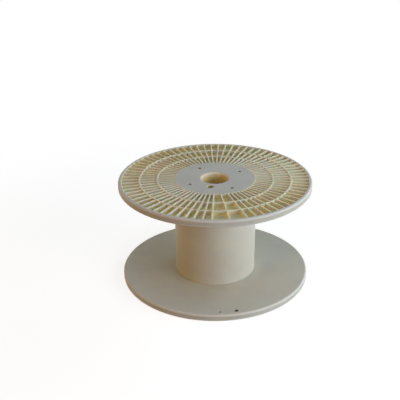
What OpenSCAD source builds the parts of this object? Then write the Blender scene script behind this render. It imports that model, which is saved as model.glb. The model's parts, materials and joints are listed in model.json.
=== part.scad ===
// Plastic cable reel: two ribbed flange mouldings bonded to the ends of a plain barrel.
// Millimetres, +Z up along the reel's axis, origin at the centre of the face it stands on.

/* [Reel] */
// Outside diameter of both flanges
flange_d = 400; // [340:5:500]
// Clear width between the flanges, which is also the barrel's length
winding_w = 192; // [120:2:300]

/* [Flange] */
// Thickness of a flange, from the rib tops to the winding face
flange_t = 15; // [10:0.5:18]
// Thickness of the web behind the ribs
web_t = 5; // [3:0.5:6]
// Radial thickness of the rim
rim_t = 7; // [5:0.5:12]
// Radius of the rim's two outer edges
edge_r = 4; // [1:0.5:4.5]

/* [Ribs] */
// Rib places round the flange
rib_places = 72; // [48:4:84]
// Thickness of a radial rib at its crest
rib_t = 3; // [2:0.25:4]
// Number of ring ribs between the hub and the rim
ring_count = 2; // [1:1:4]
// Thickness of a ring rib at its crest
ring_t = 3; // [2:0.25:5]
// Draft of every wall between the ribs, in degrees
draft = 1; // [0.5:0.25:2]

/* [Hub] */
// Diameter of the flat hub plate that the ribs start from
hub_d = 166; // [150:2:180]
// Thickness of the hub plate
hub_t = 6; // [4:0.5:8]
// Bore for the shaft
bore_d = 56; // [36:1:60]
// Radius of the bore's rounded mouth
bore_mouth_r = 4; // [1:0.5:4]
// Wall of the collar round the bore
collar_wall = 7; // [4:0.5:10]
// Length of the collar, from the outer face inwards
collar_l = 30; // [16:1:50]
// Webs between the collar and the spigot
hub_webs = 8; // [4:4:16]
// Thickness of a hub web
hub_web_t = 3; // [2:0.5:4]

/* [Holes] */
// Diameter of the bolt holes in the hub plate
bolt_d = 7; // [4:0.5:9]
// Bolt circle diameter
bolt_pcd = 122; // [110:1:132]
// Number of bolt holes
bolt_count = 4; // [2:1:4]
// Diameter of the drive-pin hole
drive_d = 13; // [8:0.5:15]
// Distance of the drive-pin hole from the axis
drive_reach = 46; // [46:0.5:50]
// Diameter of the larger wire hole
wire_d = 7; // [4:0.5:9]
// Diameter of the smaller wire hole
wire_small_d = 5; // [3:0.5:7]
// Distance from the rim's inner wall to the wire holes' centres
wire_inset = 5.5; // [5:0.5:14]

/* [Barrel] */
// Outside diameter of the barrel
barrel_d = 171; // [160:1:180]
// Wall of the barrel
barrel_wall = 5; // [3:0.5:7]
// Wall of the spigot that holds the barrel's end
spigot_wall = 4; // [3:0.5:6]
// How far the spigot reaches into the barrel
spigot_l = 12; // [6:1:30]
// Radial gap between the spigot and the barrel
fit_gap = 0.2; // [0.1:0.05:0.3]

/* [Hidden] */
$fn = 96;

ivory = [0.84, 0.81, 0.71];
warm_ivory = [0.86, 0.80, 0.68];

flange_r = flange_d / 2;
rim_r = flange_r - rim_t;
// The rim's rounded outer edges reach in to the middle of the flat between them and the inner wall.
rim_lap_r = (rim_r + flange_r - edge_r) / 2;
hub_r = hub_d / 2;
bore_r = bore_d / 2;
collar_r = bore_r + collar_wall;
barrel_r = barrel_d / 2;
barrel_bore_r = barrel_r - barrel_wall;
spigot_r = barrel_bore_r - fit_gap;
spigot_bore_r = spigot_r - spigot_wall;
spigot_top = flange_t + spigot_l;
// The hub's wall reaches in to the spigot, or by a spigot's wall where the spigot lies further out.
hub_wall_r = min(spigot_bore_r, hub_r - spigot_wall);
rib_h = flange_t - web_t;
reel_h = winding_w + 2 * flange_t;

// A rib runs this far into the walls and the web it joins, so that the pieces fuse.
root = 1;
// How far each side of a drafted wall leans out, from its crest to its root in the web.
flare = (rib_h + root) * tan(draft);
// A cutter runs this far past the faces it opens.
past = 1;

// The drive-pin hole lies towards -Y. Two rib places beside it are left empty for the wire holes.
rib_pitch = 360 / rib_places;
drive_angle = 270;
wire_place = 3;
wire_small_angle = drive_angle + wire_place * rib_pitch;
wire_angle = drive_angle + (wire_place + 2) * rib_pitch;
empty_places = [wire_place, wire_place + 2];
wire_reach = rim_r - wire_inset;

function in_list(value, values) = len([for (v = values) if (v == value) v]) > 0;

// Puts its children on the radius at the given angle, reach away from the axis.
module on_radius(angle, reach) {
    rotate(angle) translate([reach, 0, 0]) children();
}

// A rectangle of the turned section, from r0 to r1 and from z0 to z1.
module section(r0, r1, z0, z1) {
    translate([r0, z0]) square([r1 - r0, z1 - z0]);
}

// The section of a drafted wall, from r0 to r1 at its crest, with the lean of each side.
module drafted(r0, r1, inner_lean, outer_lean) {
    polygon([
        [r0, 0],
        [r1, 0],
        [r1 + outer_lean, rib_h + root],
        [r0 - inner_lean, rib_h + root]
    ]);
}

// The rim's section: a band with both outer edges rounded and its inner wall drafted.
module rim_section() {
    drafted(rim_r, flange_r - edge_r, flare, 0);
    section(rim_r, flange_r - edge_r, rib_h, flange_t);
    section(rim_lap_r, flange_r, edge_r, flange_t - edge_r);
    for (z = [edge_r, flange_t - edge_r])
        intersection() {
            translate([flange_r - edge_r, z]) circle(edge_r);
            section(rim_lap_r, flange_r, 0, flange_t);
        }
}

// The collar's section, with the bore's mouth rounded over.
module collar_section() {
    difference() {
        section(bore_r, collar_r, 0, collar_l);
        difference() {
            section(bore_r - past, bore_r + bore_mouth_r, -past, bore_mouth_r);
            translate([bore_r + bore_mouth_r, bore_mouth_r]) circle(bore_mouth_r);
        }
    }
}

// Everything on a flange that is turned about the axis.
module turned_parts() {
    rotate_extrude() {
        rim_section();
        section(hub_r - root, rim_r + root, rib_h, flange_t);
        section(collar_r - root, hub_r, 0, hub_t);
        drafted(hub_wall_r, hub_r, 0, flare);
        section(hub_wall_r, hub_r, rib_h, flange_t);
        section(spigot_bore_r, spigot_r, rib_h, spigot_top);
        collar_section();
        for (i = [1:ring_count])
            let (r = hub_r + i * (rim_r - hub_r) / (ring_count + 1))
                drafted(r - ring_t / 2, r + ring_t / 2, flare, flare);
    }
}

// The radial ribs on the outer face, from the hub plate to the rim.
module radial_ribs() {
    for (i = [0:rib_places - 1])
        if (!in_list(i, empty_places))
            on_radius(drive_angle + i * rib_pitch, hub_r - root)
                rotate([90, 0, 90])
                    linear_extrude(rim_r - hub_r + 2 * root)
                        drafted(-rib_t / 2, rib_t / 2, flare, flare);
}

// The webs inside the barrel that brace the collar against the spigot.
module hub_braces() {
    for (i = [0:hub_webs - 1])
        on_radius((i + 0.5) * 360 / hub_webs, collar_r - root)
            translate([0, -hub_web_t / 2, hub_t - root])
                cube([hub_wall_r - collar_r + 2 * root, hub_web_t, flange_t - hub_t + root]);
}

// A round hole through the flange, on the radius at the given angle.
module hole(d, angle, reach) {
    on_radius(angle, reach) translate([0, 0, -past]) cylinder(d = d, h = flange_t + 2 * past);
}

// One flange moulding, with its ribbed outer face down at z = 0 and its winding face up.
module flange() {
    difference() {
        union() {
            turned_parts();
            radial_ribs();
            hub_braces();
        }
        for (i = [0:bolt_count - 1])
            hole(bolt_d, drive_angle + (i + 0.5) * 360 / bolt_count, bolt_pcd / 2);
        hole(drive_d, drive_angle, drive_reach);
        hole(wire_small_d, wire_small_angle, wire_reach);
        hole(wire_d, wire_angle, wire_reach);
    }
}

module lower_flange() {
    color(ivory) flange();
}

module upper_flange() {
    color(ivory) translate([0, 0, reel_h]) mirror([0, 0, 1]) flange();
}

// The barrel is a plain tube. It fits over both spigots and butts on the winding faces.
module barrel() {
    color(warm_ivory)
        translate([0, 0, flange_t])
            difference() {
                cylinder(r = barrel_r, h = winding_w);
                translate([0, 0, -past]) cylinder(r = barrel_bore_r, h = winding_w + 2 * past);
            }
}

lower_flange();
barrel();
upper_flange();
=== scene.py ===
# %% [markdown]
# # An empty plastic cable reel
#
# Two ribbed flanges and a plain barrel, all in ivory plastic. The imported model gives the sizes, so the
# lesson starts by loading it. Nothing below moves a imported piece. The script moulds the three pieces
# again in their places with rounded edges, gives them a finish, and adds a floor, lamps and a camera.

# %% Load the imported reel
import json
import math
from collections import namedtuple

import bmesh
import bpy
from mathutils import Color, Matrix, Vector
from mathutils.geometry import delaunay_2d_cdt


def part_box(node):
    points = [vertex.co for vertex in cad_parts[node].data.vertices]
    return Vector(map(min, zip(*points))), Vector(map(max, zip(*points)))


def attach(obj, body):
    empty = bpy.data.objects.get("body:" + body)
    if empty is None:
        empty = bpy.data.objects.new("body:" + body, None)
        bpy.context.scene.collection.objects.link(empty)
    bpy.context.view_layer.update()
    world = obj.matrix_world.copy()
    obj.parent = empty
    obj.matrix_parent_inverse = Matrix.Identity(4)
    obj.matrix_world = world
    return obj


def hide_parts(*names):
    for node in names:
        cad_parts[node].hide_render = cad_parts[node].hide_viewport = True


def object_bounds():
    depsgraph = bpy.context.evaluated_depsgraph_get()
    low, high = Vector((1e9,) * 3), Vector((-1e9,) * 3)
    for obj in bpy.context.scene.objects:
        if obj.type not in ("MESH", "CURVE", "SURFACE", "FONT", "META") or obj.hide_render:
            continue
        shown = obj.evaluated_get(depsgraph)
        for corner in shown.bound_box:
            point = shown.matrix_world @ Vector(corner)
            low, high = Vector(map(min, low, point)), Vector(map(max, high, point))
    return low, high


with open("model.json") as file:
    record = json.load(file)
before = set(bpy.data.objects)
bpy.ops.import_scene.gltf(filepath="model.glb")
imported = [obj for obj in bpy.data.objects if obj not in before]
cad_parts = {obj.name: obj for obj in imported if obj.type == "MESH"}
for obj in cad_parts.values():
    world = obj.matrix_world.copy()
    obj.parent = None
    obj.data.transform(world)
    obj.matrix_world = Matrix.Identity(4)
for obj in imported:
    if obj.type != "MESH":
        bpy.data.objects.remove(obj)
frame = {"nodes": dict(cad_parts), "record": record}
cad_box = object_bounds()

scene = bpy.context.scene
scene.view_settings.view_transform = "Standard"
print("nodes", sorted(frame["nodes"]), "box", [list(corner) for corner in cad_box])

# %% [markdown]
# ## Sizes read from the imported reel
#
# A finish that follows the shape has to know where the shape is. The barrel's box gives its radius and
# the two winding faces, and the mounts in the record give the holes, so nothing is measured twice.

# %% Read the sizes
MM = 0.001

reel_low, reel_high = cad_box
barrel_low, barrel_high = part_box("barrel")
mounts = {mount["name"]: mount for mount in frame["record"]["mounts"]}

reel_height = reel_high.z - reel_low.z
flange_radius = (reel_high.x - reel_low.x) / 2
flange_thickness = barrel_low.z - reel_low.z
barrel_radius = (barrel_high.x - barrel_low.x) / 2
bore_radius = mounts["shaft_bore"]["dims"]["r_mm"] * MM
reel_centre = (reel_low + reel_high) / 2
print(f"reel {reel_height:.3f} m high, flange radius {flange_radius:.3f} m")
print(f"barrel radius {barrel_radius:.4f} m, bore radius {bore_radius:.3f} m")

# %% [markdown]
# ## Camera
#
# The picture is taken from a little above, with the reel standing on its lower flange. A camera could be
# placed by its coordinates, but a direction is easier to read as an azimuth and an elevation round the
# reel. One helper turns those into a point, and it serves the lamps too. The lens is written in pixels of
# the picture, and the shift puts the optical axis on its own pixel.

# %% Place the camera
FRAME_PIXELS = 400
SENSOR_WIDTH = 36.0
FOCAL_PIXELS = 720.6
OPTICAL_AXIS_PIXEL = (215.2, 253.0)
# Angles are in degrees, and the distance is in metres.
CAMERA_AZIMUTH = 12.0
CAMERA_ELEVATION = 27.01
CAMERA_DISTANCE = 1.5435
AIM_BELOW_CENTRE = 2.18


def around(azimuth, elevation, distance):
    """A point round the reel's centre: azimuth 0 is towards -Y, and angles are in degrees."""
    a = math.radians(azimuth)
    e = math.radians(elevation)
    direction = Vector((math.sin(a) * math.cos(e), -math.cos(a) * math.cos(e), math.sin(e)))
    return reel_centre + direction * distance


def facing(point, target):
    """The rotation that turns an object's -Z axis from point towards target, with +Y up."""
    return (target - point).to_track_quat("-Z", "Y").to_matrix().to_4x4()


camera_data = bpy.data.cameras.new("camera")
camera_data.sensor_width = SENSOR_WIDTH
camera_data.lens = SENSOR_WIDTH * FOCAL_PIXELS / FRAME_PIXELS
camera_data.shift_x = 0.5 - OPTICAL_AXIS_PIXEL[0] / FRAME_PIXELS
camera_data.shift_y = OPTICAL_AXIS_PIXEL[1] / FRAME_PIXELS - 0.5
camera_data.dof.use_dof = False
camera = bpy.data.objects.new("camera", camera_data)
scene.collection.objects.link(camera)
camera_place = around(CAMERA_AZIMUTH, CAMERA_ELEVATION, CAMERA_DISTANCE)
tilt = Matrix.Rotation(math.radians(-AIM_BELOW_CENTRE), 4, "X")
camera.matrix_world = Matrix.Translation(camera_place) @ facing(camera_place, reel_centre) @ tilt
scene.camera = camera
print(f"lens {camera_data.lens:.1f} mm, shift {camera_data.shift_x:.3f}, {camera_data.shift_y:.3f}")

# %% [markdown]
# ## Shader maths as Python
#
# A material is a web of nodes, and most of its nodes are plain arithmetic. They could be placed one by
# one, but a formula is easier to read. One small class wraps a socket, so that `1 - mask * 0.3` adds the
# Math nodes by itself. Its `make` method adds any other node: settings first, because they decide which
# sockets a node has, and then the values or links.

# %% Wrap a socket
# A Mix node keeps one set of sockets for each kind of data. These are the numbers of its colour sockets.
MIX_FACTOR, MIX_FIRST, MIX_SECOND, MIX_RESULT = 0, 6, 7, 2


class Wire:
    """One output socket in a node tree. Arithmetic on it adds Math nodes."""

    def __init__(self, tree, socket=None):
        self.tree = tree
        self.socket = socket

    def feed(self, target, value):
        """Links a wire to a socket, or sets the socket's own value."""
        if isinstance(value, Wire):
            self.tree.links.new(value.socket, target)
        else:
            target.default_value = value

    def make(self, kind, settings=None, inputs=None, output=0):
        """Adds a node: its settings, then its sockets by name or number. Gives one of its outputs."""
        node = self.tree.nodes.new(kind)
        for name, value in (settings or {}).items():
            setattr(node, name, value)
        for name, value in (inputs or {}).items():
            self.feed(node.inputs[name], value)
        return Wire(self.tree, node.outputs[output])

    def outputs(self, *names):
        """Several outputs of the node that this wire comes from."""
        return [Wire(self.tree, self.socket.node.outputs[name]) for name in names]

    def end(self, kind):
        """Links a finished shader to the tree's output node."""
        self.tree.links.new(self.socket, self.tree.nodes.new(kind).inputs["Surface"])

    def math(self, operation, *values):
        return self.make("ShaderNodeMath", {"operation": operation}, dict(enumerate(values)))

    def __add__(self, other):
        return self.math("ADD", self, other)

    def __radd__(self, other):
        return self.math("ADD", other, self)

    def __sub__(self, other):
        return self.math("SUBTRACT", self, other)

    def __rsub__(self, other):
        return self.math("SUBTRACT", other, self)

    def __mul__(self, other):
        return self.math("MULTIPLY", self, other)

    def __rmul__(self, other):
        return self.math("MULTIPLY", other, self)

    def __truediv__(self, other):
        return self.math("DIVIDE", self, other)

    def __rtruediv__(self, other):
        return self.math("DIVIDE", other, self)

    def least(self, other):
        return self.math("MINIMUM", self, other)

    def most(self, other):
        return self.math("MAXIMUM", self, other)

    def step(self, low, high):
        """0 below low and 1 above high, with a smooth rise between; low above high gives a fall."""
        settings = {"interpolation_type": "SMOOTHSTEP", "clamp": True}
        return self.make("ShaderNodeMapRange", settings, {"Value": self, "From Min": low, "From Max": high})

    def blend(self, first, second):
        """A colour between first and second, with this wire as the factor."""
        inputs = {MIX_FACTOR: self, MIX_FIRST: first, MIX_SECOND: second}
        return self.make("ShaderNodeMix", {"data_type": "RGBA"}, inputs, MIX_RESULT)


print("the Wire class is ready")

# %% [markdown]
# ## White floor
#
# The reel stands on plain white. The floor is a real diffuse surface, so it takes the reel's shadow and
# throws light back. A white one would light the reel too strongly from below, so the floor is a mid grey,
# and an emission that only the camera and reflections see lifts it to white. The lift stops at the reel's
# edge, so the floor stays dark under it. Further out the floor turns into pure white.

# %% Lay the floor
WHITE = (1.0, 1.0, 1.0, 1.0)
FLOOR_RADIUS = 6.0
FLOOR_SIDES = 96
FLOOR_COLOUR = (0.42, 0.41, 0.39, 1.0)
FLOOR_LIFT = 0.82
FLOOR_FADE = (0.40, 0.95)
FLOOR_DROP = 0.1 * MM
RIM_SHADE = 10 * MM
# A noise is given as its scale and its detail.
FLOOR_CLOUDS = (9.0, 3.0)
FLOOR_CLOUD_SHADE = 0.97


def empty_tree(owner):
    """Clears the nodes of a material or a world, and gives a wire to start from."""
    owner.use_nodes = True
    owner.node_tree.nodes.clear()
    return Wire(owner.node_tree)


def noise(point, scale, detail):
    return point.make("ShaderNodeTexNoise", {}, {"Vector": point, "Scale": scale, "Detail": detail})


def seen(start):
    """1 for a ray that shows the background: straight from the camera, by reflection or through glass."""
    path = start.make("ShaderNodeLightPath")
    straight, mirrored, through = path.outputs("Is Camera Ray", "Is Glossy Ray", "Is Transmission Ray")
    return straight.most(mirrored).most(through)


def floor_finish():
    material = bpy.data.materials.new("floor_white")
    start = empty_tree(material)
    point = start.make("ShaderNodeTexCoord", output="Object")
    distance = start.make("ShaderNodeVectorMath", {"operation": "LENGTH"}, {0: point}, "Value")
    shaded = tuple(FLOOR_CLOUD_SHADE * channel for channel in FLOOR_COLOUR)
    colour = noise(point, *FLOOR_CLOUDS).blend(FLOOR_COLOUR, shaded)
    diffuse = start.make("ShaderNodeBsdfDiffuse", {}, {"Color": colour})
    clear_of_reel = distance.step(flange_radius - RIM_SHADE, flange_radius)
    glow = seen(start) * clear_of_reel * FLOOR_LIFT
    lift = start.make("ShaderNodeEmission", {}, {"Color": WHITE, "Strength": glow})
    near = start.make("ShaderNodeAddShader", {}, {0: diffuse, 1: lift})
    far = start.make("ShaderNodeEmission", {}, {"Color": WHITE, "Strength": seen(start)})
    fade = distance.step(*FLOOR_FADE)
    start.make("ShaderNodeMixShader", {}, {0: fade, 1: near, 2: far}).end("ShaderNodeOutputMaterial")
    return material


bpy.ops.mesh.primitive_circle_add(vertices=FLOOR_SIDES, radius=FLOOR_RADIUS, fill_type="NGON")
floor = bpy.context.object
floor.name = "floor"
floor.location.z = reel_low.z - FLOOR_DROP
floor.data.materials.append(floor_finish())
print(f"floor {2 * FLOOR_RADIUS:.0f} m across, pure white from {FLOOR_FADE[1]} m outwards")

# %% [markdown]
# ## White world
#
# The world has two jobs. Where it is seen it is white, so no horizon shows behind the floor. What it adds
# to the light is only a trace of cool fill, because a bright world would wash out the soft shading that the
# lamps give. A Light Path node tells the two apart.

# %% Set the world
AMBIENT_COLOUR = (0.86, 0.93, 1.0, 1.0)
AMBIENT_STRENGTH = 0.01

scene.world = bpy.data.worlds.new("studio")
sky = empty_tree(scene.world)
ambient = sky.make("ShaderNodeBackground", {}, {"Color": AMBIENT_COLOUR, "Strength": AMBIENT_STRENGTH})
white_sky = sky.make("ShaderNodeBackground", {}, {"Color": WHITE, "Strength": 1.0})
both_skies = sky.make("ShaderNodeMixShader", {}, {0: seen(sky), 1: ambient, 2: white_sky})
both_skies.end("ShaderNodeOutputWorld")
print("world white where it is seen, ambient strength", AMBIENT_STRENGTH)

# %% [markdown]
# ## Lamps
#
# Daylight does most of the work: a wide lamp at the right and a weaker one at the right behind. Two cool
# lamps stand for the sky, one high in front and one at the left behind, and a warm one at the left
# colours the shaded side of the barrel. Spot lamps would draw hard edges. Lamps as wide as these give the
# soft fall of light that shows a round barrel as round.

# %% Hang the lamps
LAMP_HEIGHT = 1.0
LAMPS = {
    # name: azimuth from the camera's, elevation, distance, width, watts, colour
    "window_right": (60, 14, 2.0, 2.0, 31.7, (0.90, 0.93, 1.0)),
    "window_behind": (130, 25, 2.0, 1.4, 10.4, (0.78, 0.91, 1.0)),
    "sky_front": (0, 75, 1.9, 1.2, 6.8, (0.53, 0.70, 1.0)),
    "sky_left": (-115, 30, 2.0, 1.4, 3.0, (0.59, 0.98, 1.0)),
    "warm_left": (-60, 20, 2.0, 1.6, 9.9, (1.0, 0.46, 0.036)),
}


def hang_lamp(name, azimuth, elevation, distance, width, watts, colour):
    data = bpy.data.lights.new(name, "AREA")
    data.shape = "RECTANGLE"
    data.size = width
    data.size_y = LAMP_HEIGHT
    data.energy = watts
    data.color = colour
    lamp = bpy.data.objects.new(name, data)
    scene.collection.objects.link(lamp)
    place = around(CAMERA_AZIMUTH + azimuth, elevation, distance)
    lamp.matrix_world = Matrix.Translation(place) @ facing(place, reel_centre)
    lamp.visible_camera = False


for lamp_name, lamp_facts in LAMPS.items():
    hang_lamp(lamp_name, *lamp_facts)
print("lamps", list(LAMPS))

# %% [markdown]
# ## The moulding's sizes
#
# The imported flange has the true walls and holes, and its rim and the bore's mouth are rounded, but its
# ribs, bays and small holes have knife-sharp edges. A real moulding has small radii everywhere: they help
# the plastic to flow, they keep the corners from cracking, and they are what catches the light. A Bevel
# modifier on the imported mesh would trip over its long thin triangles, so the lesson moulds the flange
# again from its sizes. What the frame doesn't state is named here.

# %% Name the moulding's sizes
RIM_WALL = 7 * MM
RIM_EDGE_ROUND = 4 * MM
RIB_PLACES = 72
EMPTY_PLACES = (3, 5)
RIB_WALL = 3 * MM
RING_COUNT = 2
RING_WALL = 3 * MM
DRAFT = math.radians(1)
HUB_RADIUS = 83 * MM
COLLAR_WALL = 7 * MM
COLLAR_LENGTH = 30 * MM
HUB_WEBS = 8
HUB_WEB_WALL = 3 * MM
BARREL_WALL = 5 * MM
SPIGOT_WALL = 4 * MM
SPIGOT_LENGTH = 12 * MM
FIT_GAP = 0.2 * MM

CREST_ROUND = 0.5 * MM
ROOT_ROUND = 1.0 * MM
CORNER_ROUND = 1.3 * MM
LEAST_CORNER = 0.3 * MM
HOLE_ROUND = 0.8 * MM
END_ROUND = 0.4 * MM

web_thickness = mounts["lower_wire_hole"]["dims"]["length_mm"] * MM
hub_thickness = mounts["lower_drive_hole"]["dims"]["length_mm"] * MM
rib_height = flange_thickness - web_thickness
rim_radius = flange_radius - RIM_WALL
mouth_round = (reel_height - mounts["shaft_bore"]["dims"]["length_mm"] * MM) / 2
collar_radius = bore_radius + COLLAR_WALL
barrel_bore_radius = barrel_radius - BARREL_WALL
spigot_radius = barrel_bore_radius - FIT_GAP
spigot_bore_radius = spigot_radius - SPIGOT_WALL
spigot_depth = flange_thickness + SPIGOT_LENGTH
print(f"ribs {rib_height / MM:.0f} mm high on a web of {web_thickness / MM:.0f} mm")

# %% [markdown]
# ## Holes
#
# Each flange has round holes: one for a winding machine's drive pin, four small ones round the hub, and
# two near the rim for the wire's ends. Their mounts say where they are. A hole is kept as its radius, its
# reach from the axis and its angle, because everything on a flange is laid out round the axis.

# %% Find the holes
Hole = namedtuple("Hole", "radius reach angle")


def hole_at(mount):
    """A round hole, from its mount."""
    x, y, _ = mount["pos_m"]
    return Hole(mount["dims"]["r_mm"] * MM, math.hypot(x, y), math.atan2(y, x))


drive_hole = hole_at(mounts["lower_drive_hole"])
wire_hole = hole_at(mounts["lower_wire_hole"])
wire_holes = [wire_hole, hole_at(mounts["lower_small_wire_hole"])]
bolts = mounts["lower_bolt_holes"]["dims"]
bolt_angles = [drive_hole.angle + (i + 0.5) * math.tau / bolts["count"] for i in range(bolts["count"])]
bolt_holes = [Hole(bolts["hole_r_mm"] * MM, bolts["pcd_mm"] / 2 * MM, angle) for angle in bolt_angles]
hub_holes = [drive_hole, *bolt_holes]
print(len(hub_holes), "holes in the hub and", len(wire_holes), "wire holes in each flange")

# %% [markdown]
# ## Rounded profiles
#
# Most of a flange is turned about an axis: the rim, the collar, the spigot and the holes. Their edges could
# be bevelled afterwards, but then each width would depend on the mesh. Here an edge is a quarter circle in
# the profile, drawn by one helper, and the wall of a bay takes its crest and its root from it too.

# %% Draw arcs and rings
ROUND_STEPS = 3
HOLE_STEPS = 32
# Directions in a profile of (radius, depth) points. Depth is counted inwards from a flange's outer face.
OUT, IN, DEEPER, SHALLOWER = (1, 0), (-1, 0), (0, 1), (0, -1)


def between(start, end, steps):
    """Evenly spaced values from start to end, both included."""
    return [start + (end - start) * i / steps for i in range(steps + 1)]


def full_turn(steps):
    """The angles of a full turn, without its end, which is its start again."""
    return between(0, math.tau, steps)[:-1]


def ring(radius, angles):
    return [(radius * math.cos(a), radius * math.sin(a)) for a in angles]


def round_hole(hole, radius):
    """A ring about a hole's own axis."""
    x, y = ring(hole.reach, [hole.angle])[0]
    return [(x + dx, y + dy) for dx, dy in ring(radius, full_turn(HOLE_STEPS))]


def bend(start, ahead, aside, radius, steps=ROUND_STEPS):
    """A quarter circle in a profile, which leaves its start in one direction and turns into another."""
    points = []
    for turn in between(0, math.pi / 2, steps):
        forth, over = radius * math.sin(turn), radius * (1 - math.cos(turn))
        points.append(tuple(s + forth * a + over * b for s, a, b in zip(start, ahead, aside)))
    return points


wall_lean = (rib_height - CREST_ROUND - ROOT_ROUND) * math.tan(DRAFT)
bay_profile = bend((-CREST_ROUND, 0.0), OUT, DEEPER, CREST_ROUND)
bay_profile += bend((wall_lean, rib_height - ROOT_ROUND), DEEPER, OUT, ROOT_ROUND)
print("inset and depth of a bay's wall, in mm")
print([(round(inset / MM, 2), round(depth / MM, 2)) for inset, depth in bay_profile])

# %% [markdown]
# ## The outline of a bay
#
# A bay between two ribs is a window with two straight sides, two arcs and four rounded corners. It could be
# cut as a plain window and rounded later, but there are over two hundred of them. Here the corners are
# worked out: a corner's circle touches its two neighbours, so its centre lies one radius away from each.

# %% Draw a bay
CORNER_STEPS = 3
LEAST_ARC_STEPS = 2
ARC_STEP = math.radians(2.5)


def bay_outline(inner, outer, first, last, inset):
    """A bay between two arcs and the ribs at two angles, with every side moved in by the inset."""
    corner = max(LEAST_CORNER, CORNER_ROUND - inset)
    across = RIB_WALL / 2 + inset + corner
    arc_steps = max(LEAST_ARC_STEPS, round((last - first) / ARC_STEP))

    def corner_centre(reach):
        """How far along the rib a corner's centre lies, and its bearing from the rib."""
        along = math.sqrt(reach ** 2 - across ** 2)
        return along, math.atan2(across, along)

    def rounded(along, start, end):
        turns = between(start, end, CORNER_STEPS)
        return [(along + corner * math.cos(t), across + corner * math.sin(t)) for t in turns]

    def turned(points, angle, hand):
        """Points beside a rib along X, turned to the rib's angle. Hand -1 takes its other side."""
        c, s = math.cos(angle), math.sin(angle)
        return [(x * c - hand * y * s, x * s + hand * y * c) for x, y in points]

    def arc(point, radius):
        """The arc from a point beside the first rib to its twin beside the last, without its ends."""
        bearing = math.atan2(point[1], point[0])
        return ring(radius, between(first + bearing, last - bearing, arc_steps)[1:-1])

    near, near_bearing = corner_centre(inner + inset + corner)
    far, far_bearing = corner_centre(outer - inset - corner)
    side = rounded(near, math.pi + near_bearing, 1.5 * math.pi)
    side += rounded(far, -0.5 * math.pi, far_bearing)
    return [
        *turned(side, first, 1),
        *arc(side[-1], outer - inset),
        *turned(side[::-1], last, -1),
        *arc(side[0], inner + inset)[::-1],
    ]


narrow_bay = bay_outline(HUB_RADIUS, rim_radius, 0.0, math.tau / RIB_PLACES, 0.0)
print(len(narrow_bay), "points round a bay between neighbouring ribs")

# %% [markdown]
# ## A shell made of outlines
#
# Each surface here is a stack of closed outlines, or a flat plate between outlines. Cutting the bays with
# Booleans would leave slivers. Instead an outline is made once and then shared by the faces on both sides
# of it, so the finished shell is closed and nothing has to be welded. Blender's Delaunay triangulation
# fills the plates: every outline goes in as a face, and a triangle stays if it lies in the outer one and
# in none of the holes.

# %% Collect outlines into a shell
SHARP_ANGLE = math.radians(50)
KEEP_INSIDE = 1
SAME_POINT = 1e-9


class Shell:
    """The points and faces of one closed surface. Depth is counted from the reel's end, inwards."""

    def __init__(self):
        self.points = []
        self.faces = []

    def loop(self, outline, depth):
        """Adds a closed outline of (x, y) points at one depth and gives their numbers."""
        first = len(self.points)
        self.points += [(x, y, depth) for x, y in outline]
        return list(range(first, len(self.points)))

    def band(self, one, other):
        """Faces between two outlines with the same number of points."""
        for i in range(len(one)):
            self.faces.append((one[i - 1], one[i], other[i], other[i - 1]))

    def stack(self, levels):
        """Bands along a list of (outline, depth). Gives the first and the last outline."""
        loops = [self.loop(outline, depth) for outline, depth in levels]
        for one, other in zip(loops, loops[1:]):
            self.band(one, other)
        return loops[0], loops[-1]

    def turn(self, profile, angles):
        """A turned surface: the (radius, depth) points of a profile, taken round the axis."""
        return self.stack([(ring(radius, angles), depth) for radius, depth in profile])

    def drill(self, hole, profile):
        """The wall of a hole, turned about the hole's own axis."""
        return self.stack([(round_hole(hole, radius), depth) for radius, depth in profile])

    def plate(self, outer, holes):
        """A flat face between an outer outline and its holes, all counter-clockwise."""
        numbers = outer + [number for hole in holes for number in hole]
        place = {number: i for i, number in enumerate(numbers)}
        flat = [Vector(self.points[number][:2]) for number in numbers]
        loops = [[place[number] for number in loop] for loop in [outer, *holes]]
        filled = delaunay_2d_cdt(flat, [], loops, KEEP_INSIDE, SAME_POINT)
        _, _, triangles, sources, _, owners = filled
        for triangle, owner in zip(triangles, owners):
            if owner == [0]:
                self.faces.append([numbers[sources[corner][0]] for corner in triangle])

    def finish(self, name, mirrored=False):
        """Makes a smooth mesh object, for the reel's lower end or mirrored for its upper end."""
        heights = [reel_high.z - d if mirrored else reel_low.z + d for _, _, d in self.points]
        mesh = bpy.data.meshes.new(name)
        mesh.from_pydata([(x, y, z) for (x, y, _), z in zip(self.points, heights)], [], self.faces)
        shape = bmesh.new()
        shape.from_mesh(mesh)
        bmesh.ops.recalc_face_normals(shape, faces=shape.faces)
        open_edges = sum(not edge.is_manifold for edge in shape.edges)
        shape.to_mesh(mesh)
        shape.free()
        mesh.shade_smooth()
        mesh.set_sharp_from_angle(angle=SHARP_ANGLE)
        piece = bpy.data.objects.new(name, mesh)
        scene.collection.objects.link(piece)
        piece.modifiers.new("weighted_normals", "WEIGHTED_NORMAL").keep_sharp = True
        triangles = sum(len(face) - 2 for face in self.faces)
        print(f"{name}: {len(self.points)} points, {triangles} triangles, {open_edges} open edges")
        return piece


print("the Shell class is ready")

# %% [markdown]
# ## The bays between the ribs
#
# The ribs stiffen the flange, and two rib places stay empty to leave room for the wire holes. In the real
# mould each rib is a slot in the steel, and a modeller could add the ribs one by one. It is simpler to make
# what lies between them: every bay is a window in the outer face that sinks to the web, with a rounded
# crest, a leaning wall and a rounded root.

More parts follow.
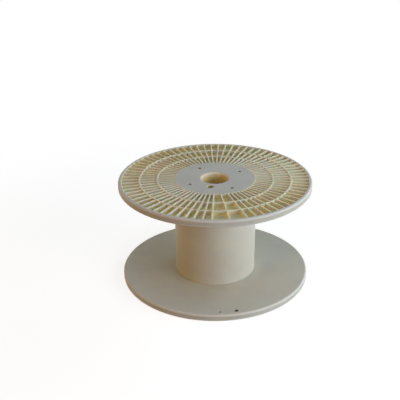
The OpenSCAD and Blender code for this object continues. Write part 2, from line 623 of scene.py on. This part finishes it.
# %% Sink the bays
ring_pitch = (rim_radius - HUB_RADIUS) / (RING_COUNT + 1)
ring_radii = [HUB_RADIUS + i * ring_pitch for i in range(1, RING_COUNT + 1)]
inner_walls = [HUB_RADIUS] + [radius + RING_WALL / 2 for radius in ring_radii]
outer_walls = [radius - RING_WALL / 2 for radius in ring_radii] + [rim_radius]
rib_pitch = math.tau / RIB_PLACES
rib_angles = [drive_hole.angle + i * rib_pitch for i in range(RIB_PLACES) if i not in EMPTY_PLACES]
next_ribs = rib_angles[1:] + [rib_angles[0] + math.tau]


def within(angle, first, last):
    """Whether an angle lies between two others, counted round from the first."""
    return (angle - first) % math.tau < last - first


def mouth(hole, depth, inwards):
    """The profile of a hole's rounded mouth, from the face at this depth inwards."""
    return bend((hole.radius + HOLE_ROUND, depth), IN, inwards, HOLE_ROUND)


def mould_bays(shell):
    """Sinks every bay into the outer face. Gives the bays' crests and the wire holes' far mouths."""
    crests, far_mouths = [], []
    for inner, outer in zip(inner_walls, outer_walls):
        for first, last in zip(rib_angles, next_ribs):
            levels = [(bay_outline(inner, outer, first, last, inset), depth) for inset, depth in bay_profile]
            crest, bottom = shell.stack(levels)
            crests.append(crest)
            near_mouths = []
            for hole in wire_holes:
                if inner < hole.reach < outer and within(hole.angle, first, last):
                    far_profile = mouth(hole, flange_thickness, SHALLOWER)[::-1]
                    near, far = shell.drill(hole, mouth(hole, rib_height, DEEPER) + far_profile)
                    near_mouths.append(near)
                    far_mouths.append(far)
            shell.plate(bottom, near_mouths)
    return crests, far_mouths


print(len(rib_angles), "ribs and", len(rib_angles) * len(inner_walls), "bays on each flange")

# %% [markdown]
# ## The hub
#
# The hub is a plate with a collar round the bore. On the barrel's side a spigot takes the barrel's end, and
# short webs brace the collar, with pockets between them. The collar and the spigot could be cylinders with
# bevels. As turned profiles they share their points with the pockets, and their cut ends are rounded too.

# %% Shape the hub
MOUTH_STEPS = 6
POCKET_STEPS = 12

web_angles = [(i + 0.5) * math.tau / HUB_WEBS for i in range(HUB_WEBS + 1)]


def pocket_angles(radius):
    """The angles of every pocket's points at this radius, which leave a web's wall between pockets."""
    half = math.asin(HUB_WEB_WALL / 2 / radius)
    pairs = zip(web_angles, web_angles[1:])
    return [a for first, last in pairs for a in between(first + half, last - half, POCKET_STEPS)]


def turn_collar(shell):
    """The bore with its rounded mouth, and the collar's outside. Gives the mouth and the collar's foot."""
    profile = bend((bore_radius + mouth_round, 0.0), IN, DEEPER, mouth_round, MOUTH_STEPS)
    profile += bend((bore_radius, COLLAR_LENGTH - END_ROUND), DEEPER, OUT, END_ROUND)
    profile += bend((collar_radius - END_ROUND, COLLAR_LENGTH), OUT, SHALLOWER, END_ROUND)
    profile += [(collar_radius, flange_thickness)]
    return shell.turn(profile, pocket_angles(collar_radius))


def turn_spigot(shell):
    """The ring that the barrel fits over. Gives its foot outside and its foot inside."""
    profile = [(spigot_radius, flange_thickness)]
    profile += bend((spigot_radius, spigot_depth - END_ROUND), DEEPER, IN, END_ROUND)
    profile += bend((spigot_bore_radius + END_ROUND, spigot_depth), IN, SHALLOWER, END_ROUND)
    profile += [(spigot_bore_radius, flange_thickness)]
    return shell.turn(profile, pocket_angles(spigot_bore_radius))


def sink_pockets(shell, collar_foot, spigot_bore):
    """The pockets between the webs, with the hub's holes. Gives the holes' mouths on the outer face."""
    outer_mouths = []
    count = POCKET_STEPS + 1
    for k, (first, last) in enumerate(zip(web_angles, web_angles[1:])):
        here = slice(k * count, (k + 1) * count)
        top = spigot_bore[here] + collar_foot[here][::-1]
        bottom = shell.loop([shell.points[number][:2] for number in top], hub_thickness)
        shell.band(top, bottom)
        inner_mouths = []
        for hole in hub_holes:
            if within(hole.angle, first, last):
                near, far = shell.drill(hole, mouth(hole, 0.0, DEEPER) + [(hole.radius, hub_thickness)])
                outer_mouths.append(near)
                inner_mouths.append(far)
        shell.plate(bottom, inner_mouths)
        web = (k * count - 1, k * count)
        shell.faces.append([collar_foot[i] for i in web] + [spigot_bore[i] for i in web[::-1]])
    return outer_mouths


print(HUB_WEBS, "webs round a collar of", round(2 * collar_radius / MM), "mm")

# %% [markdown]
# ## The two flanges
#
# The rim closes the flange: a turned profile that runs from the outer face to the winding face. The outer
# face is one plate with the bore, the hub's holes and all the bays' crests cut out of it. The two flanges are
# taken to be alike. They could be moulded one by one, but one shell gives both, the upper one mirrored.

# %% Mould the flanges
RIM_STEPS = 288
RIM_ROUND_STEPS = 6


def mould_flange():
    shell = Shell()
    crests, wire_mouths = mould_bays(shell)
    bore_mouth, collar_foot = turn_collar(shell)
    spigot_foot, spigot_bore = turn_spigot(shell)
    hub_mouths = sink_pockets(shell, collar_foot, spigot_bore)
    rim = bend((flange_radius - RIM_EDGE_ROUND, 0.0), OUT, DEEPER, RIM_EDGE_ROUND, RIM_ROUND_STEPS)
    rim += [(radius, flange_thickness - depth) for radius, depth in rim[::-1]]
    outer_edge, winding_edge = shell.turn(rim, full_turn(RIM_STEPS))
    shell.plate(outer_edge, [bore_mouth, *hub_mouths, *crests])
    shell.plate(winding_edge, [spigot_foot, *wire_mouths])
    return shell


flange_shell = mould_flange()
flange_pieces = {
    "lower_flange": flange_shell.finish("lower_flange_moulding"),
    "upper_flange": flange_shell.finish("upper_flange_moulding", mirrored=True),
}
for node_name, piece in flange_pieces.items():
    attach(piece, "root")
    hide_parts(node_name)

# %% [markdown]
# ## The barrel
#
# The barrel is a length of plain pipe between the winding faces. A cylinder with a Solidify modifier would
# do, but its cut ends are broken by a hair, which leaves the thin dark line that shows where two pieces
# meet. So it is one more turned profile, closed on itself.

# %% Cut the barrel
BARREL_STEPS = 192


def cut_barrel():
    shell = Shell()
    outside = bend((barrel_radius - END_ROUND, flange_thickness), OUT, DEEPER, END_ROUND)
    inside = bend((barrel_bore_radius + END_ROUND, flange_thickness), IN, DEEPER, END_ROUND)
    profile = outside + [(radius, reel_height - depth) for radius, depth in outside[::-1]]
    profile += [(radius, reel_height - depth) for radius, depth in inside] + inside[::-1]
    first, last = shell.turn(profile, full_turn(BARREL_STEPS))
    shell.band(last, first)
    return shell


barrel_piece = cut_barrel().finish("barrel_pipe")
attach(barrel_piece, "root")
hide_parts("barrel")

# %% [markdown]
# ## Where a point lies on the reel
#
# The mouldings are a slightly translucent ivory. Light that enters a thin wall comes out warmer, so the rib
# crests look creamy beside the flat hub, the bays turn yellow towards their floors, and the bore is almost
# orange inside. These tones are painted light, painted into the colour. Vertex colours could hold such tones,
# but only as finely as the mesh. Here masks do it: the depth below the outer face and the distance from the
# axis tell a crest from a bay and from the bore.

# %% Mask the parts of a flange
MASK_EDGE = 1 * MM


class Place:
    """Where a shading point lies on the reel, as wires. Depth is counted from the nearer outer face."""

    def __init__(self, start):
        self.point = start.make("ShaderNodeTexCoord", output="Object")
        parts = start.make("ShaderNodeSeparateXYZ", {}, {0: self.point})
        x, y, self.height = parts.outputs("X", "Y", "Z")
        self.across = start.make("ShaderNodeCombineXYZ", {}, {0: x, 1: y})
        square = x * x + y * y
        self.radius = square.math("SQRT", square)
        self.heading = (x / self.radius, y / self.radius)
        self.depth = self.height.least(reel_height - self.height)


def rib_field(place):
    """1 among the ribs: from the hub out to the rim, and from the crests down to the web."""
    outside_hub = place.radius.step(HUB_RADIUS - MASK_EDGE, HUB_RADIUS)
    inside_rim = place.radius.step(rim_radius + MASK_EDGE, rim_radius)
    above_web = place.depth.step(rib_height + 2 * MASK_EDGE, rib_height + MASK_EDGE)
    return outside_hub * inside_rim * above_web


def rim_bands(place):
    """The rim's two rounded corners, and the straight wall between them."""
    rim = place.radius.step(flange_radius - RIM_EDGE_ROUND, flange_radius - RIM_EDGE_ROUND / 2)
    below = place.depth.step(RIM_EDGE_ROUND - MASK_EDGE, RIM_EDGE_ROUND + MASK_EDGE)
    beyond = flange_thickness - RIM_EDGE_ROUND
    wall = below * place.depth.step(beyond + MASK_EDGE, beyond - MASK_EDGE)
    return rim * (1 - wall), rim * wall


def in_hole(place, hole):
    """1 on the wall of a round hole, and 0 from its lip outwards."""
    centre = (*ring(hole.reach, [hole.angle])[0], 0.0)
    ends = {0: place.across, 1: centre}
    away = place.across.make("ShaderNodeVectorMath", {"operation": "DISTANCE"}, ends, "Value")
    return away.step(hole.radius + HOLE_ROUND, hole.radius)


print(f"masks follow the ribs from {HUB_RADIUS:.3f} to {rim_radius:.3f} m")

# %% [markdown]
# ## The ivory tones
#
# Each part of a flange gets a tone from its mask: flat faces, rib walls, crests, bays, and the bore. Only the
# flat faces keep the plain ivory. The rest is painted light: the rib field lighter, the crests and the bore's
# lip cream, the bays and the drive hole yellower, and the bore orange. The holes are painted darker inside as
# painted shade, the large wire hole most and the hub's holes a little. The barrel is one tone, a bit deeper
# in broad streaks round the pipe. The tones are written as they look on a screen, and Blender turns them into
# the linear values that a shader takes.

# %% Choose the tones
def screen_colour(red, green, blue):
    """A colour written as 0 to 255 on a screen, as the linear values that a shader takes."""
    colour = Color((red / 255, green / 255, blue / 255)).from_srgb_to_scene_linear()
    return (*colour, 1.0)


IVORY = screen_colour(210, 208, 194)
# Painted light: the whole rib field is painted lighter than the flat faces, for light that passes through the
# thin ribs.
RIB_FIELD_LIGHT_IVORY = screen_colour(228, 228, 214)
# Painted light: cream on the rib crests, for light that comes out through them, and a painted highlight on
# the bore's lip.
CREST_AND_LIP_LIGHT_IVORY = screen_colour(250, 236, 203)
# Painted light: yellow in the bays towards their floors and in the drive hole. On the barrel the same tone is
# a real streak colour.
BAY_LIGHT_AND_STREAK_IVORY = screen_colour(244, 230, 172)
# Painted light: orange inside the bore, for light that comes through the collar and bounces in it.
BORE_LIGHT_ORANGE = screen_colour(255, 224, 148)
# Painted shade: the holes' walls are painted dark, the large wire hole most and the hub's holes a little.
HOLE_SHADE_IVORY = screen_colour(70, 62, 50)
WIRE_HOLE_SHADE = 0.8
HUB_HOLE_SHADE = 0.25
# A range runs from where a tone is absent to where it is full.
CREST_DEPTH = (1.2 * MM, 0.4 * MM)
BAY_DEPTH = (2 * MM, 7 * MM)
BORE_DEPTH = (6 * MM, 14 * MM)
# A streak is given as its length round the axis in radians and its width in metres.
BARREL_STREAK = (2.5, 30 * MM)
BARREL_STREAK_RANGE = (0.35, 0.75)
BARREL_STREAK_SHARE = 0.12
LANE_NOISE = (1.0, 2.0)


def streaks(place, across, length, width):
    """Noise drawn out round the axis, which changes quickly across it."""
    east, north = place.heading
    lanes = across.make("ShaderNodeCombineXYZ", {}, {0: east / length, 1: north / length, 2: across / width})
    return noise(lanes, *LANE_NOISE)


def flange_colour(place):
    """Ivory for the flat faces, and painted light and shade on the other parts of the flange."""
    ribbed = rib_field(place)
    in_hub = place.radius.step(HUB_RADIUS, HUB_RADIUS - 2 * MASK_EDGE)
    lip = place.radius.step(bore_radius + mouth_round, bore_radius)
    crest = place.depth.step(*CREST_DEPTH) * ribbed
    bay = place.depth.step(*BAY_DEPTH) * ribbed
    bore = place.depth.step(*BORE_DEPTH) * in_hub
    # Painted shade inside the holes.
    hole_shade = in_hole(place, wire_hole) * WIRE_HOLE_SHADE
    for hole in hub_holes:
        hole_shade = hole_shade.most(in_hole(place, hole) * HUB_HOLE_SHADE)
    # Painted light on the rib field, the crests, the bore's lip, the bays, the drive hole and the bore.
    colour = ribbed.blend(IVORY, RIB_FIELD_LIGHT_IVORY)
    colour = crest.most(lip).blend(colour, CREST_AND_LIP_LIGHT_IVORY)
    colour = bay.most(in_hole(place, drive_hole)).blend(colour, BAY_LIGHT_AND_STREAK_IVORY)
    colour = hole_shade.blend(colour, HOLE_SHADE_IVORY)
    return bore.blend(colour, BORE_LIGHT_ORANGE)


def barrel_colour(place):
    """Ivory all over, a little deeper in broad streaks round the pipe."""
    streak = streaks(place, place.height, *BARREL_STREAK).step(*BARREL_STREAK_RANGE)
    return (streak * BARREL_STREAK_SHARE).blend(IVORY, BAY_LIGHT_AND_STREAK_IVORY)


print("ivory in linear values", [round(channel, 3) for channel in IVORY])

# %% [markdown]
# ## Satin and scuffs
#
# One function makes both finishes. Broad clouds change the tone and the sheen a little, a fine grain gives
# the moulded satin, and scuffs run round the axis where wire and other reels have slid along the faces. The
# bays are sheltered from them. The rims' rounded corners get a painted highlight and are a little rougher,
# and the wall between the corners gets a painted shade. All of it is noise and masks, so it needs no pictures
# or UV maps.

# %% Make the plastic
# A darker tone: real wear in the clouds and the scuffs, and painted shade on the rims' walls.
WEAR_AND_SHADE_IVORY = screen_colour(150, 143, 124)
# Painted highlight on the rims' rounded corners.
CORNER_HIGHLIGHT_IVORY = screen_colour(240, 238, 228)
PLASTIC_IOR = 1.5
SCATTER_DEPTH = 8 * MM
SCATTER_TINT = (1.0, 0.50, 0.18)
SCATTER_SHARE = 0.35

CLOUD_NOISE = (14.0, 4.0)
CLOUD_RANGE = (0.40, 0.80)
CLOUD_SHARE = 0.14
GRAIN_NOISE = (1400.0, 2.0)
SCUFF = (0.5, 1.1 * MM)
SCUFF_RANGE = (0.58, 0.80)
SCUFF_SHARE = 0.12

# The even part of the painted corner highlight and the painted wall shade is there all round, and the rest
# comes in patches.
PATCH_NOISE = (45.0, 4.0)
PATCH_RANGE = (0.35, 0.75)
RUB_AND_HIGHLIGHT_EVEN = 0.7
CORNER_HIGHLIGHT_SHARE = 0.7
WALL_SHADE_EVEN = 0.6
WALL_SHADE_SHARE = 0.15

SATIN_ROUGHNESS = 0.42
CLOUD_ROUGHNESS = 0.12
GRAIN_ROUGHNESS = 0.06
SCUFF_ROUGHNESS = 0.10
RUB_ROUGHNESS = 0.12
GRAIN_RELIEF = 0.6
SCUFF_RELIEF = 0.4
BUMP_STRENGTH = 0.22
BUMP_DISTANCE = 0.2 * MM


def plastic(name, choose_colour, scuff_across):
    """A satin plastic. The scuffs repeat across the part of a Place that is named: radius or height."""
    material = bpy.data.materials.new(name)
    start = empty_tree(material)
    place = Place(start)
    cloud = noise(place.point, *CLOUD_NOISE)
    grain = noise(place.point, *GRAIN_NOISE)
    sheltered = rib_field(place) * place.depth.step(*CREST_DEPTH[::-1])
    scuff = streaks(place, getattr(place, scuff_across), *SCUFF).step(*SCUFF_RANGE) * (1 - sheltered)
    corner, wall = rim_bands(place)
    patch = noise(place.point, *PATCH_NOISE).step(*PATCH_RANGE)
    # Painted highlight on the rims' rounded corners, which are also made rougher, and painted shade on the
    # rim's wall between them.
    rub_and_highlight = corner * (RUB_AND_HIGHLIGHT_EVEN + (1 - RUB_AND_HIGHLIGHT_EVEN) * patch)
    painted_wall_shade = wall * (WALL_SHADE_EVEN + (1 - WALL_SHADE_EVEN) * patch)

    colour = choose_colour(place)
    colour = (cloud.step(*CLOUD_RANGE) * CLOUD_SHARE).blend(colour, WEAR_AND_SHADE_IVORY)
    colour = (scuff * SCUFF_SHARE).blend(colour, WEAR_AND_SHADE_IVORY)
    # Painted highlight on the rim corners.
    colour = (rub_and_highlight * CORNER_HIGHLIGHT_SHARE).blend(colour, CORNER_HIGHLIGHT_IVORY)
    # Painted shade on the rim walls.
    colour = (painted_wall_shade * WALL_SHADE_SHARE).blend(colour, WEAR_AND_SHADE_IVORY)
    roughness = SATIN_ROUGHNESS + CLOUD_ROUGHNESS * cloud + GRAIN_ROUGHNESS * grain
    roughness = roughness + SCUFF_ROUGHNESS * scuff + RUB_ROUGHNESS * rub_and_highlight
    bump = start.make("ShaderNodeBump", {}, {
        "Strength": BUMP_STRENGTH,
        "Distance": BUMP_DISTANCE,
        "Height": grain * GRAIN_RELIEF - scuff * SCUFF_RELIEF,
    })
    shader = start.make("ShaderNodeBsdfPrincipled", {}, {
        "Base Color": colour,
        "Roughness": roughness,
        "Normal": bump,
        "IOR": PLASTIC_IOR,
        "Subsurface Weight": SCATTER_SHARE,
        "Subsurface Radius": SCATTER_TINT,
        "Subsurface Scale": SCATTER_DEPTH,
    })
    shader.end("ShaderNodeOutputMaterial")
    return material


flange_plastic = plastic("flange_plastic_ivory", flange_colour, "radius")
barrel_plastic = plastic("barrel_plastic_ivory", barrel_colour, "height")
for piece in flange_pieces.values():
    piece.data.materials.append(flange_plastic)
barrel_piece.data.materials.append(barrel_plastic)
print("finishes", flange_plastic.name, barrel_plastic.name)
